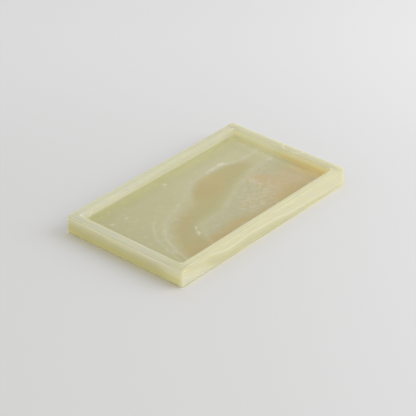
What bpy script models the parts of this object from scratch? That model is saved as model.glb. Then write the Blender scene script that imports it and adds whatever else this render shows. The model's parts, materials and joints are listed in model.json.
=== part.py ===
"""Onyx catchall tray: one cut and polished block of banded stone on four stick-on felt pads.

The pads sit in shallow recesses under the corners, so that the stone all but touches the table.
+X runs along the tray's length, +Y towards its rear long side, and +Z is up. The origin lies
under the tray's middle, on the surface that the pads stand on. Lengths are in metres.
"""

import math

import bmesh
import bpy
from mathutils import Matrix, Vector

# The stone block
LENGTH = 0.200
WIDTH = 0.120
STONE_HEIGHT = 0.015
OUTER_CORNER_RADIUS = 0.002
FOOT_EASE = 0.0003
RIM_OUTER_EASE = 0.0005

# The well ground into its top
RIM_WIDTH = 0.0075
RIM_INNER_EASE = 0.0004
BASE_THICKNESS = 0.006
WALL_DRAFT = 0.0004
MOUTH_CORNER_RADIUS = 0.003
FLOOR_CORNER_RADIUS = 0.010
COVE_RADIUS = 0.0025

# The pads under its corners, and the film of adhesive that holds each one
PAD_RADIUS = 0.006
PAD_THICKNESS = 0.001
PAD_EASE = 0.0002
PAD_SETBACK = 0.016
BOND_LINE = 0.0003

# The recess that each pad sits in, and how far the pad stands out of it
PAD_STAND = 0.0002
RECESS_CLEARANCE = 0.0003
CUT_OVERRUN = 0.001

# How finely round stretches are divided
CORNER_STEPS = 12
EASE_STEPS = 3
WALL_STEPS = 5
COVE_STEPS = 6
PAD_STEPS = 32

# Colours as linear red, green, blue and alpha
ONYX_CREAM = (0.64, 0.62, 0.42, 1.0)
FELT_IVORY = (0.70, 0.67, 0.58, 1.0)
ONYX_ROUGHNESS = 0.22
FELT_ROUGHNESS = 0.95
SUBSURFACE_WEIGHT = 0.6
SUBSURFACE_DEPTH = 0.004

SMOOTH_ANGLE = math.radians(32)
MERGE_DISTANCE = 0.00001


def clear_scene():
    """Removes whatever the scene holds."""
    for old in list(bpy.data.objects):
        bpy.data.objects.remove(old)


def principled(name, colour, roughness):
    """A plain material of one colour and gloss."""
    material = bpy.data.materials.new(name)
    material.use_nodes = True
    shader = material.node_tree.nodes["Principled BSDF"]
    shader.inputs["Base Color"].default_value = colour
    shader.inputs["Roughness"].default_value = roughness
    shader.inputs["Metallic"].default_value = 0
    return material


def onyx_material():
    """Polished pale green onyx, which lets a little light through."""
    material = principled("polished_onyx", ONYX_CREAM, ONYX_ROUGHNESS)
    shader = material.node_tree.nodes["Principled BSDF"]
    shader.inputs["Subsurface Weight"].default_value = SUBSURFACE_WEIGHT
    shader.inputs["Subsurface Scale"].default_value = SUBSURFACE_DEPTH
    return material


def arc(centre_inset, centre_height, radius, start, end, steps):
    """Section points (inset, height) round a centre, from the start angle to the end angle.

    The angles are in quarter turns: 0 points inwards, towards the tray's middle, and 1 up.
    """
    points = []
    for step in range(steps + 1):
        angle = (start + (end - start) * step / steps) * math.pi / 2
        inset = centre_inset + radius * math.cos(angle)
        height = centre_height + radius * math.sin(angle)
        points.append((inset, height))
    return points


def outside_stations():
    """Levels up the outside of the block: (inset from its side, height, corner radius)."""
    foot = arc(FOOT_EASE, FOOT_EASE, FOOT_EASE, 3, 2, EASE_STEPS)
    shoulder = arc(RIM_OUTER_EASE, STONE_HEIGHT - RIM_OUTER_EASE, RIM_OUTER_EASE, 2, 1, EASE_STEPS)
    return [(inset, height, OUTER_CORNER_RADIUS - inset) for inset, height in foot + shoulder]


def well_section():
    """Section points (inset, height) down the side of the well, from the rim's edge to the floor."""
    mouth_height = STONE_HEIGHT - RIM_INNER_EASE
    cove_height = BASE_THICKNESS + COVE_RADIUS
    mouth = arc(RIM_WIDTH - RIM_INNER_EASE, mouth_height, RIM_INNER_EASE, 1, 0, EASE_STEPS)
    wall = []
    for step in range(1, WALL_STEPS):
        share = step / WALL_STEPS
        inset = RIM_WIDTH + WALL_DRAFT * share
        wall.append((inset, mouth_height + (cove_height - mouth_height) * share))
    cove = arc(RIM_WIDTH + WALL_DRAFT + COVE_RADIUS, cove_height, COVE_RADIUS, 2, 3, COVE_STEPS)
    return mouth + wall + cove


def well_stations():
    """Levels down the inside of the well: (inset from the block's side, height, corner radius).

    The corners are tight at the mouth and open out, faster towards the floor, to the wide sweep
    that a round grinding wheel leaves there.
    """
    opening_out = FLOOR_CORNER_RADIUS - MOUTH_CORNER_RADIUS
    depth = STONE_HEIGHT - BASE_THICKNESS
    stations = []
    for inset, height in well_section():
        edge_ease = max(RIM_WIDTH - inset, 0)
        depth_share = (STONE_HEIGHT - height) / depth
        radius = MOUTH_CORNER_RADIUS + edge_ease + opening_out * depth_share**2
        stations.append((inset, height, radius))
    return stations


def rounded_rectangle(inset, height, corner_radius):
    """Points of a level rounded rectangle inside the block's outline, anticlockwise from above."""
    half_length = LENGTH / 2 - inset - corner_radius
    half_width = WIDTH / 2 - inset - corner_radius
    points = []
    for turn, (side_x, side_y) in enumerate(((1, 1), (-1, 1), (-1, -1), (1, -1))):
        centre = Vector((side_x * half_length, side_y * half_width, height))
        for step in range(CORNER_STEPS + 1):
            angle = (turn + step / CORNER_STEPS) * math.pi / 2
            points.append(centre + corner_radius * Vector((math.cos(angle), math.sin(angle), 0)))
    return points


def stone_mesh():
    """The block with its well: level outlines joined in order, closed by the underside and floor."""
    shape = bmesh.new()
    loops = []
    for inset, height, corner_radius in outside_stations() + well_stations():
        outline = rounded_rectangle(inset, height, corner_radius)
        loops.append([shape.verts.new(point) for point in outline])
    for lower, upper in zip(loops, loops[1:]):
        for i in range(len(lower)):
            j = (i + 1) % len(lower)
            shape.faces.new((lower[i], lower[j], upper[j], upper[i]))
    shape.faces.new(reversed(loops[0]))
    shape.faces.new(loops[-1])
    mesh = bpy.data.meshes.new("tray_body")
    shape.to_mesh(mesh)
    shape.free()
    mesh.shade_smooth()
    mesh.set_sharp_from_angle(angle=SMOOTH_ANGLE)
    return mesh


def pad_profile_mesh():
    """Half of a pad's section, from its upper middle, down its edge, to its lower middle."""
    edge = PAD_RADIUS - PAD_EASE
    points = [
        (0, PAD_THICKNESS),
        (edge, PAD_THICKNESS),
        (PAD_RADIUS, PAD_THICKNESS - PAD_EASE),
        (PAD_RADIUS, PAD_EASE),
        (edge, 0),
        (0, 0),
    ]
    mesh = bpy.data.meshes.new("foot_pad")
    mesh.from_pydata(
        [(radius, 0, height) for radius, height in points],
        [(i, i + 1) for i in range(len(points) - 1)],
        [],
    )
    return mesh


def add_object(name, mesh, material, location, parent):
    """A named object at a place, with its own material, under the tray's empty."""
    placed = bpy.data.objects.new(name, mesh)
    bpy.context.scene.collection.objects.link(placed)
    if not mesh.materials:
        mesh.materials.append(material)
    placed.location = location
    placed.parent = parent
    return placed


def turn_pad(pad):
    """Turns a pad's half section into a round disc."""
    screw = pad.modifiers.new("turned", "SCREW")
    screw.axis = "Z"
    screw.steps = PAD_STEPS
    screw.render_steps = PAD_STEPS
    screw.use_merge_vertices = True
    screw.merge_threshold = MERGE_DISTANCE
    screw.use_smooth_shade = False


def pad_places():
    """Each corner's name and its pad's place, set back alike from the corner's two sides."""
    x = LENGTH / 2 - PAD_SETBACK
    y = WIDTH / 2 - PAD_SETBACK
    places = {}
    for end, side_y in (("front", -1), ("rear", 1)):
        for side, side_x in (("left", -1), ("right", 1)):
            places[f"{end}_{side}"] = Vector((side_x * x, side_y * y, 0))
    return places


def recess_mesh():
    """A round plug that fills a pad's recess and runs out through the stone's underside."""
    top = PAD_THICKNESS + BOND_LINE
    bottom = PAD_STAND - CUT_OVERRUN
    radius = PAD_RADIUS + RECESS_CLEARANCE
    middle = Matrix.Translation((0, 0, (top + bottom) / 2))
    shape = bmesh.new()
    bmesh.ops.create_cone(
        shape,
        cap_ends=True,
        segments=PAD_STEPS,
        radius1=radius,
        radius2=radius,
        depth=top - bottom,
        matrix=middle,
    )
    mesh = bpy.data.meshes.new("pad_recess")
    shape.to_mesh(mesh)
    shape.free()
    return mesh


def cut_recess(stone, cutter):
    """Cuts a cutter's shape out of the stone, and hides the cutter."""
    cutter.hide_render = True
    cutter.display_type = "WIRE"
    cut = stone.modifiers.new(cutter.name, "BOOLEAN")
    cut.operation = "DIFFERENCE"
    cut.object = cutter


def main():
    """Builds the tray: the stone body with its recesses, and the pads in them."""
    clear_scene()
    tray = bpy.data.objects.new("onyx_tray", None)
    bpy.context.scene.collection.objects.link(tray)
    onyx = onyx_material()
    felt = principled("ivory_felt", FELT_IVORY, FELT_ROUGHNESS)
    stone = add_object("tray_body", stone_mesh(), onyx, (0, 0, PAD_STAND), tray)
    recess = recess_mesh()
    profile = pad_profile_mesh()
    for corner, place in pad_places().items():
        cut_recess(stone, add_object(f"recess_{corner}", recess, onyx, place, tray))
        turn_pad(add_object(f"foot_pad_{corner}", profile, felt, place, tray))


main()
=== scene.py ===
"""Looks of the onyx catchall tray.

A block of banded onyx, with a well ground into its top, stands on four felt pads in plain soft
studio light. +X runs along the tray, +Z is up, and lengths are in metres. The figure of the
stone is written in millimetres on the tray, with heights counted from the stone's underside.
"""

from __future__ import annotations

import json
import logging
import math
from dataclasses import dataclass
from enum import Enum
from functools import reduce
from typing import Callable, Mapping, Sequence, TypeVar, Union

import bpy
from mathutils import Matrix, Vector


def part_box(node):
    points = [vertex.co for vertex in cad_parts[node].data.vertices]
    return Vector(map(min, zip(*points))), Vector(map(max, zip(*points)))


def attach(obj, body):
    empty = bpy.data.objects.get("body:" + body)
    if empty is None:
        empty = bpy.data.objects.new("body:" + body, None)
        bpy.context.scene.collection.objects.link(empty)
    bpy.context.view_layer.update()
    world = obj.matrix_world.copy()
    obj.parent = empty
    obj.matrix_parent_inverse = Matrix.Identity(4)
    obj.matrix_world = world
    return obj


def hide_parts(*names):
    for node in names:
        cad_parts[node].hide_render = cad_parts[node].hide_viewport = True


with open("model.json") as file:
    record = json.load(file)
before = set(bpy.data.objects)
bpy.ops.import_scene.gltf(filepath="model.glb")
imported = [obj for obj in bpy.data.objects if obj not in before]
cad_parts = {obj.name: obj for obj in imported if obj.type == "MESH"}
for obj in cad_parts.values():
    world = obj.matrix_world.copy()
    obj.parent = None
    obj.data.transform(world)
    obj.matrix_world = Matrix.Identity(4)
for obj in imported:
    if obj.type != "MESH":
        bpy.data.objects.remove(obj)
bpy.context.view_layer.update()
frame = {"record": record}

MM = 0.001
SHARP_ANGLE = math.radians(40)
MERGE_DISTANCE = 0.01 * MM

# The pads' seats in the stone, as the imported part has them
RECESS_CLEARANCE = 0.3 * MM
BOND_LINE = 0.3 * MM

# The stone block in millimetres, as its figure and strata are laid out
HALF_LENGTH = 100.0
HALF_WIDTH = 60.0
UNDERSIDE = 0.2

# The levels of a soft noise between which its pale and its dark streaks come up
STREAK_PALE = (0.5, 0.7)
STREAK_DARK = (0.5, 0.3)

Colour = tuple[float, float, float]
Reach = tuple[float, float, float]
Place = tuple[float, float]
Span = tuple[float, float]
Borders = tuple[float, ...]
# A warp's noise grain with twice its furthest push, and a base value with what noise adds to it
Warp = tuple[float, Reach]
Lift = tuple[float, float]
Value = Union["Wire", float, int, bool, str, tuple, bpy.types.ID]
Number = TypeVar("Number", float, "Wire")
Settings = Mapping[str, object]
Sockets = Mapping[Union[str, int], Value]

log = logging.getLogger("onyx_tray")


class Corner(Enum):
    """The tray's corners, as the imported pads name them."""

    FRONT_LEFT = "front_left"
    FRONT_RIGHT = "front_right"
    REAR_LEFT = "rear_left"
    REAR_RIGHT = "rear_right"

    @property
    def pad_node(self) -> str:
        """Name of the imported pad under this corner."""
        return f"foot_pad_{self.value}"


def shown(red: int, green: int, blue: int) -> Colour:
    """Turns a colour as a screen shows it into linear light.

    Args:
        red: Red from 0 to 255.
        green: Green from 0 to 255.
        blue: Blue from 0 to 255.

    Returns:
        The three linear values.
    """

    def linear(level: int) -> float:
        """Linear light of one screen level."""
        share = level / 255
        return share / 12.92 if share <= 0.04045 else ((share + 0.055) / 1.055) ** 2.4

    return linear(red), linear(green), linear(blue)


# Colours that several parts of the stone share
PALE = shown(236, 233, 206)
BUTTER = shown(250, 245, 180)
WHITE = shown(240, 238, 222)
MOSS = shown(204, 203, 162)


def turned(x: Number, y: Number, angle: float) -> tuple[Number, Number]:
    """Reads a place in axes that are turned anticlockwise by an angle."""
    along, across = math.cos(angle), math.sin(angle)
    return x * along + y * across, y * along - x * across


def operator(kind: str, swapped: bool = False) -> Callable[[Wire, Value], Wire]:
    """Makes an operator of Wire that adds a Math node.

    Args:
        kind: The node's operation.
        swapped: Whether the wire is the node's second value.

    Returns:
        The operator.
    """

    def apply(wire: Wire, other: Value) -> Wire:
        """The Math node's result."""
        return wire.graph.math(kind, *((other, wire) if swapped else (wire, other)))

    return apply


class Wire:
    """An output socket that takes part in plain arithmetic, each operator adding a Math node."""

    def __init__(self, graph: Graph, socket: bpy.types.NodeSocket) -> None:
        """Keeps the socket with the graph that it belongs to."""
        self.graph = graph
        self.socket = socket

    __add__ = __radd__ = operator("ADD")
    __sub__ = operator("SUBTRACT")
    __rsub__ = operator("SUBTRACT", swapped=True)
    __mul__ = __rmul__ = operator("MULTIPLY")
    __truediv__ = operator("DIVIDE")
    __rtruediv__ = operator("DIVIDE", swapped=True)
    __pow__ = operator("POWER")
    __mod__ = operator("MODULO")
    __lt__ = operator("LESS_THAN")
    __gt__ = operator("GREATER_THAN")
    at_most = operator("MINIMUM")
    at_least = operator("MAXIMUM")

    def floor(self) -> Wire:
        """Whole part, rounded down."""
        return self.graph.math("FLOOR", self)

    def size(self) -> Wire:
        """Value without its sign."""
        return self.graph.math("ABSOLUTE", self)

    def share(self) -> Wire:
        """The value held between 0 and 1."""
        return self.at_least(0.0).at_most(1.0)

    def lifted(self, base: float, extra: float) -> Wire:
        """A base value, plus an extra one times this."""
        return self * extra + base

    def rise(self, low: Value, high: Value) -> Wire:
        """Runs smoothly from 0 at one value to 1 at another, which may be the lower one."""
        limits = {"Value": self, "From Min": low, "From Max": high}
        return self.graph.add("ShaderNodeMapRange", {"interpolation_type": "SMOOTHSTEP"}, limits)

    def peak(self, width: Value) -> Wire:
        """A soft ridge: 1 at zero, falling away on both sides within about a width."""
        ratio = self / width
        return 1.0 / ((ratio * ratio + 1.0) ** 2.0)


class Graph:
    """A node tree under construction."""

    def __init__(self, tree: bpy.types.NodeTree) -> None:
        """Starts on a tree, which is emptied."""
        self.tree = tree
        self.tree.nodes.clear()

    def node(
        self, kind: str, settings: Settings | None = None, sockets: Sockets | None = None
    ) -> bpy.types.Node:
        """Adds a node of any type.

        Args:
            kind: The node's type.
            settings: What the node is set to, before its sockets are filled. "stops" are a
                ramp's places and colours, "curve" a float curve's points, and "items" the
                number of values that an index switch picks from.
            sockets: A value or a wire for each input, by name or by number.

        Returns:
            The node.
        """
        node = self.tree.nodes.new(kind)
        for name, setting in (settings or {}).items():
            if name == "stops":
                self._set_stops(node.color_ramp, setting)
            elif name == "curve":
                self._set_curve(node.mapping, setting)
            elif name == "items":
                while len(node.index_switch_items) < setting:
                    node.index_switch_items.new()
            else:
                setattr(node, name, setting)
        for name, value in (sockets or {}).items():
            self._fill(self._input(node, name), value)
        return node

    def add(
        self,
        kind: str,
        settings: Settings | None = None,
        sockets: Sockets | None = None,
        out: str | None = None,
    ) -> Wire:
        """Adds a node, as node() does, and gives one of its outputs.

        Args:
            kind: The node's type.
            settings: What the node is set to.
            sockets: A value or a wire for each input.
            out: The wanted output's name, or None for the first that is in use.

        Returns:
            The output.
        """
        node = self.node(kind, settings, sockets)
        usable = (socket for socket in node.outputs if socket.enabled)
        return Wire(self, next(socket for socket in usable if out in (None, socket.name)))

    def math(self, operation: str, *values: Value) -> Wire:
        """Adds a Math node on one, two or three values."""
        return self.add("ShaderNodeMath", {"operation": operation}, dict(enumerate(values)))

    def vector_math(self, operation: str, *values: Value) -> Wire:
        """Adds a Vector Math node on one or two vectors."""
        return self.add("ShaderNodeVectorMath", {"operation": operation}, dict(enumerate(values)))

    def scaled(self, vector: Value, scale: Value) -> Wire:
        """A vector times a number."""
        sockets = {0: vector, "Scale": scale}
        return self.add("ShaderNodeVectorMath", {"operation": "SCALE"}, sockets)

    def vector(self, x: Value, y: Value, z: Value) -> Wire:
        """Joins three numbers into a vector."""
        return self.add("ShaderNodeCombineXYZ", {}, {"X": x, "Y": y, "Z": z})

    def parts(self, vector: Wire) -> tuple[Wire, Wire, Wire]:
        """Splits a vector into its three numbers.

        Args:
            vector: The vector.

        Returns:
            The three numbers.
        """
        node = self.node("ShaderNodeSeparateXYZ", {}, {0: vector})
        x, y, z = (Wire(self, socket) for socket in node.outputs)
        return x, y, z

    def between(self, share: Value, start: Value, end: Value) -> Wire:
        """A number part of the way from one to another."""
        sockets = {"Factor": share, "A": start, "B": end}
        return self.add("ShaderNodeMix", {"data_type": "FLOAT"}, sockets)

    def tint(self, share: Value, under: Value, over: Value, blend: str = "MIX") -> Wire:
        """Lays a colour over another, as strongly as a share says."""
        settings = {"data_type": "RGBA", "blend_type": blend}
        return self.add("ShaderNodeMix", settings, {"Factor": share, "A": under, "B": over})

    def noise(
        self, place: Wire, grain: float = 1.0, detail: float = 2.0, out: str = "Fac"
    ) -> Wire:
        """Soft noise, about 0.5, of one feature length and with finer layers of detail."""
        sockets = {"Vector": place, "Scale": 1 / grain, "Detail": detail}
        return self.add("ShaderNodeTexNoise", {}, sockets, out)

    def stretched(self, place: Wire, lengths: Reach) -> Wire:
        """A place with each axis divided by a length of its own, for grain along an axis."""
        return self.vector_math("DIVIDE", place, lengths)

    @staticmethod
    def _input(node: bpy.types.Node, name: str | int) -> bpy.types.NodeSocket:
        """Finds an input by number, or by name among those in use.

        Args:
            node: The node.
            name: The input's number or name.

        Returns:
            The input.
        """
        if isinstance(name, int):
            return node.inputs[name]
        return next(socket for socket in node.inputs if socket.enabled and socket.name == name)

    def _fill(self, socket: bpy.types.NodeSocket, value: Value) -> None:
        """Links a wire to an input, or sets the input's own value.

        Args:
            socket: The input.
            value: The wire or the value.
        """
        if isinstance(value, Wire):
            self.tree.links.new(value.socket, socket)
        elif socket.type == "RGBA":
            socket.default_value = (*value, 1.0)
        else:
            socket.default_value = value

    @staticmethod
    def _set_stops(ramp: bpy.types.ColorRamp, stops: Sequence[tuple[float, Colour]]) -> None:
        """Sets a ramp's stops.

        Args:
            ramp: The ramp.
            stops: Each stop's place and colour, in rising order.
        """
        while len(ramp.elements) < len(stops):
            ramp.elements.new(1.0)
        for element, (place, colour) in zip(ramp.elements, stops):
            element.position = place
            element.color = (*colour, 1.0)

    @staticmethod
    def _set_curve(mapping: bpy.types.CurveMapping, points: Sequence[Place]) -> None:
        """Sets a float curve's points.

        Args:
            mapping: The curve.
            points: The places that it runs through, in rising order.
        """
        line = mapping.curves[0]
        while len(line.points) < len(points):
            line.points.new(1.0, 1.0)
        for point, place in zip(line.points, points):
            point.location = place
        mapping.update()


class ShapeGraph(Graph):
    """A Geometry Nodes tree with named sizes, which ends as one plain mesh."""

    def __init__(self, name: str, sizes: Mapping[str, float]) -> None:
        """Starts a tree with a named input for each size.

        Args:
            name: The piece's name.
            sizes: The sizes, in metres or as plain numbers.
        """
        super().__init__(bpy.data.node_groups.new(name, "GeometryNodeTree"))
        self.name = name
        self.values: dict[str, float] = {}
        self.size: dict[str, Wire] = {}
        for title, value in sizes.items():
            kind = {"in_out": "INPUT", "socket_type": "NodeSocketFloat"}
            self.values[self.tree.interface.new_socket(title, **kind).identifier] = value
        group = self.node("NodeGroupInput")
        for title in sizes:
            self.size[title] = Wire(self, group.outputs[title])

    def index(self) -> Wire:
        """Number of each point."""
        return self.add("GeometryNodeInputIndex")

    def position(self) -> Wire:
        """Place of each point."""
        return self.add("GeometryNodeInputPosition")

    def normal(self) -> Wire:
        """Direction that each point or face looks in."""
        return self.add("GeometryNodeInputNormal")

    def pick(self, index: Value, values: Sequence[Value], kind: str = "FLOAT") -> Wire:
        """Picks one of several values by its number.

        Args:
            index: The number.
            values: The values.
            kind: Their data type.

        Returns:
            The picked value.
        """
        sockets: dict[str | int, Value] = {"Index": index}
        sockets.update({str(number): value for number, value in enumerate(values)})
        settings = {"data_type": kind, "items": len(values)}
        return self.add("GeometryNodeIndexSwitch", settings, sockets)

    def section(
        self, corners: Sequence[tuple[Value, Value]], eases: Sequence[Value], steps: int
    ) -> Wire:
        """A section line of straight runs with eased corners.

        Args:
            corners: Its corners in order, as distance sideways and height.
            eases: The radius at each corner, which the two ends don't use.
            steps: How many steps each eased corner has.

        Returns:
            The line.
        """
        line = self.add("GeometryNodeCurvePrimitiveLine")
        line = self.add("GeometryNodeResampleCurve", {}, {"Curve": line, "Count": len(corners)})
        places = [self.vector(sideways, 0.0, height) for sideways, height in corners]
        place = self.pick(self.index(), places, "VECTOR")
        line = self.add("GeometryNodeSetPosition", {}, {"Geometry": line, "Position": place})
        return self.eased(line, steps, self.pick(self.index(), eases))

    def eased(self, line: Wire, steps: int, radius: Value) -> Wire:
        """Rounds a line's corners with arcs of so many steps and a radius."""
        sockets = {"Curve": line, "Count": steps, "Radius": radius}
        return self.add("GeometryNodeFilletCurve", {"mode": "POLY"}, sockets)

    def divided(self, line: Wire, steps: int, lead: int, cuts: Sequence[int]) -> Wire:
        """Divides an eased line's straight runs.

        Args:
            line: The eased line.
            steps: How many steps its arcs have.
            lead: 1 where the line starts with an arc, 0 where it starts with a straight run.
            cuts: How many cuts each straight run gets. Where the line starts with an arc, the
                first number isn't used.

        Returns:
            The divided line.
        """
        number = (self.index() + float(lead)) / (steps + 1.0)
        starts_run = number - number.floor() < 0.5 / (steps + 1)
        count = self.pick(number.floor(), [float(cut) for cut in cuts]) * starts_run
        return self.add("GeometryNodeSubdivideCurve", {}, {"Curve": line, "Cuts": count})

    def levels(self, outline: Wire, section: Wire) -> tuple[Wire, Wire, Wire]:
        """A sheet with a row for each point of a section and a column for each of an outline.

        Args:
            outline: The closed outline, whose first column comes again at the end.
            section: The section line.

        Returns:
            The sheet, the outline's place in each column, and the section's in each row.
        """
        rows = self._point_count(section)
        columns = self._point_count(outline)
        sizes = {"Vertices X": columns + 1.0, "Vertices Y": rows}
        sheet = self.add("GeometryNodeMeshGrid", {}, sizes)
        column = (self.index() / rows).floor()
        row = self.index() - column * rows
        return sheet, self._sampled(outline, column % columns), self._sampled(section, row)

    def _point_count(self, line: Wire) -> Wire:
        """Number of points on a line."""
        settings = {"component": "CURVE"}
        return self.add("GeometryNodeAttributeDomainSize", settings, {"Geometry": line})

    def _sampled(self, line: Wire, index: Wire) -> Wire:
        """Place of a numbered point of a line."""
        sockets = {"Geometry": line, "Value": self.position(), "Index": index}
        return self.add("GeometryNodeSampleIndex", {"data_type": "FLOAT_VECTOR"}, sockets)

    def moved(self, shape: Wire, position: Wire) -> Wire:
        """Puts a shape's points in new places."""
        return self.add("GeometryNodeSetPosition", {}, {"Geometry": shape, "Position": position})

    def pushed(self, shape: Wire, offset: Wire) -> Wire:
        """Shifts a shape's points."""
        return self.add("GeometryNodeSetPosition", {}, {"Geometry": shape, "Offset": offset})

    def closed(self, shape: Wire) -> Wire:
        """Joins a shape's doubled points."""
        sockets = {"Geometry": shape, "Distance": MERGE_DISTANCE}
        return self.add("GeometryNodeMergeByDistance", {}, sockets)

    def stored(self, shape: Wire, name: str, value: Wire) -> Wire:
        """Keeps a number on a shape's points under a name that materials can read."""
        sockets = {"Geometry": shape, "Name": name, "Value": value}
        return self.add("GeometryNodeStoreNamedAttribute", {"data_type": "FLOAT"}, sockets)

    def joined(self, shapes: Sequence[Wire]) -> Wire:
        """Joins shapes into one.

        Args:
            shapes: The shapes.

        Returns:
            The joined shape.
        """
        node = self.node("GeometryNodeJoinGeometry")
        for shape in shapes:
            self.tree.links.new(shape.socket, node.inputs[0])
        return Wire(self, node.outputs[0])

    def dressed(self, shape: Wire, material: bpy.types.Material) -> Wire:
        """Gives a shape its material, and smooth shading that breaks at sharp edges.

        Args:
            shape: The shape.
            material: Its material.

        Returns:
            The dressed shape.
        """
        sharp = self.add("GeometryNodeInputMeshEdgeAngle") > SHARP_ANGLE
        smooth = self.add("GeometryNodeSetShadeSmooth", {}, {"Geometry": shape})
        edges = {"Geometry": smooth, "Selection": sharp, "Shade Smooth": False}
        broken = self.add("GeometryNodeSetShadeSmooth", {"domain": "EDGE"}, edges)
        return self.add("GeometryNodeSetMaterial", {}, {"Geometry": broken, "Material": material})

    def piece(self, shape: Wire) -> bpy.types.Object:
        """Evaluates the tree and keeps the result as a plain mesh.

        Args:
            shape: The finished shape, which already carries its materials.

        Returns:
            The object, at the origin, with its place in its mesh.
        """
        self.tree.interface.new_socket("Shape", in_out="OUTPUT", socket_type="NodeSocketGeometry")
        real = self.add("GeometryNodeRealizeInstances", {}, {"Geometry": shape})
        self.node("NodeGroupOutput", {}, {"Shape": real})
        piece = bpy.data.objects.new(self.name, bpy.data.meshes.new(self.name))
        bpy.context.scene.collection.objects.link(piece)
        modifier = piece.modifiers.new("shape", "NODES")
        modifier.node_group = self.tree
        for identifier, value in self.values.items():
            modifier[identifier] = value
        depsgraph = bpy.context.evaluated_depsgraph_get()
        mesh = bpy.data.meshes.new_from_object(piece.evaluated_get(depsgraph), depsgraph=depsgraph)
        for slot in reversed(range(len(mesh.materials))):
            if mesh.materials[slot] is None:
                mesh.materials.pop(index=slot)
        piece.modifiers.remove(modifier)
        piece.data = mesh
        return piece


class MaterialGraph(Graph):
    """The node tree of a new material."""

    def __init__(self, name: str) -> None:
        """Starts an empty material.

        Args:
            name: The material's name.
        """
        self.material = bpy.data.materials.new(name)
        self.material.use_nodes = True
        super().__init__(self.material.node_tree)

    def here(self) -> Wire:
        """Place on the object, in metres."""
        return self.add("ShaderNodeTexCoord", {}, {}, "Object")

    def attribute(self, name: str) -> Wire:
        """A number that the mesh carries."""
        return self.add("ShaderNodeAttribute", {"attribute_name": name}, {}, "Fac")

    def warped(self, place: Wire, grain: float, reach: Reach) -> Wire:
        """Pushes a place about by noise.

        Args:
            place: The place.
            grain: The length of one feature of the noise.
            reach: Twice the furthest push along each axis.

        Returns:
            The pushed place.
        """
        noise = self.noise(place, grain, out="Color")
        centred = self.vector_math("SUBTRACT", noise, (0.5, 0.5, 0.5))
        push = self.vector_math("MULTIPLY", centred, reach)
        return self.vector_math("ADD", place, push)

    def bumped(self, height: Wire, strength: float, distance: float) -> Wire:
        """The normal over a relief of that height."""
        sockets = {"Strength": strength, "Distance": distance, "Height": height}
        return self.add("ShaderNodeBump", {}, sockets)

    def finished(self, sockets: Sockets) -> bpy.types.Material:
        """Ends the tree in a Principled shader.

        Args:
            sockets: A value or a wire for each of the shader's inputs.

        Returns:
            The material.
        """
        shader = self.add("ShaderNodeBsdfPrincipled", {}, sockets)
        self.node("ShaderNodeOutputMaterial", {}, {"Surface": shader})
        return self.material


def from_side(x: Wire, y: Wire) -> Wire:
    """How far a place lies in from the nearest side of the block, in millimetres."""
    return (HALF_LENGTH - x.size()).at_most(HALF_WIDTH - y.size())


@dataclass(frozen=True)
class Zone:
    """A part of the tray with soft borders, in millimetres.

    Its measures are x along the tray, y across it, z up from the stone's underside, and side in
    from the block's nearest side. Each one that is used has two places, where the zone begins
    and where it is full, or four, which add where it starts to fade and where it ends. The zone
    is their product.
    """

    x: Borders = ()
    y: Borders = ()
    z: Borders = ()
    side: Borders = ()
    strength: float = 1.0

    def mask(self, x: Wire, y: Wire, z: Wire) -> Wire:
        """How strong the zone is at a place.

        Args:
            x: Place along the tray.
            y: Place across the tray.
            z: Height above the stone's underside.

        Returns:
            The mask, from 0 to the zone's strength.
        """
        measures = [(x, self.x), (y, self.y), (z, self.z)]
        if self.side:
            measures.append((from_side(x, y), self.side))
        rises = []
        for measure, borders in measures:
            if borders:
                rises.append(measure.rise(*borders[:2]))
            if len(borders) > 2:
                rises.append(measure.rise(*reversed(borders[2:])))
        return reduce(Wire.__mul__, rises) * self.strength


@dataclass(frozen=True)
class Glaze(Zone):
    """A zone whose colour is multiplied."""

    factor: Colour = (1.0, 1.0, 1.0)


def glazed(graph: Graph, colour: Value, place: Wire, glazes: Sequence[Glaze]) -> Wire:
    """Multiplies a colour in several zones, one after another.

    Args:
        graph: The graph to build in.
        colour: The colour.
        place: The place on the tray, in millimetres.
        glazes: The zones and their factors.

    Returns:
        The glazed colour.
    """
    x, y, z = graph.parts(place)
    for glaze in glazes:
        colour = graph.tint(glaze.mask(x, y, z), colour, glaze.factor, "MULTIPLY")
    return colour


@dataclass(frozen=True)
class Speckle:
    """Soft noise held between two levels: its grain in millimetres, finer layers and levels."""

    grain: float
    detail: float
    low: float
    high: float

    def mask(self, graph: Graph, place: Wire) -> Wire:
        """The noise at a place, from 0 to 1."""
        return graph.noise(place, self.grain, self.detail).rise(self.low, self.high)


@dataclass(frozen=True)
class Patch:
    """A soft-edged oval patch of colour on the well's floor, in millimetres."""

    x: float
    y: float
    half_length: float
    half_width: float
    strength: float
    turn: float = 0.0
    edge: float = 1.5

    def mask(self, x: Wire, y: Wire) -> Wire:
        """The patch's strength in its middle, falling to 0 at its edge.

        Args:
            x: Place along the tray.
            y: Place across the tray.

        Returns:
            The mask.
        """
        right, back = turned(x - self.x, y - self.y, self.turn)
        run, rise = right / self.half_length, back / self.half_width
        return (run * run + rise * rise).rise(self.edge, 0.0) * self.strength


def strongest(patches: Sequence[Patch], x: Wire, y: Wire) -> Wire:
    """The strongest of several patches' masks."""
    return reduce(Wire.at_least, (patch.mask(x, y) for patch in patches))


@dataclass(frozen=True)
class Shades:
    """Colours along one measure. Each stop is a place in millimetres and three screen levels."""

    stops: tuple[tuple[float, int, int, int], ...]

    def colour(self, graph: Graph, along: Wire) -> Wire:
        """The colour at a place along the measure.

        Args:
            graph: The graph to build in.
            along: The place.

        Returns:
            The colour.
        """
        low, high = self.stops[0][0], self.stops[-1][0]
        stops = [((place - low) / (high - low), shown(*levels)) for place, *levels in self.stops]
        share = (along - low) / (high - low)
        return graph.add("ShaderNodeValToRGB", {"stops": stops}, {0: share}, "Color")


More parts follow.
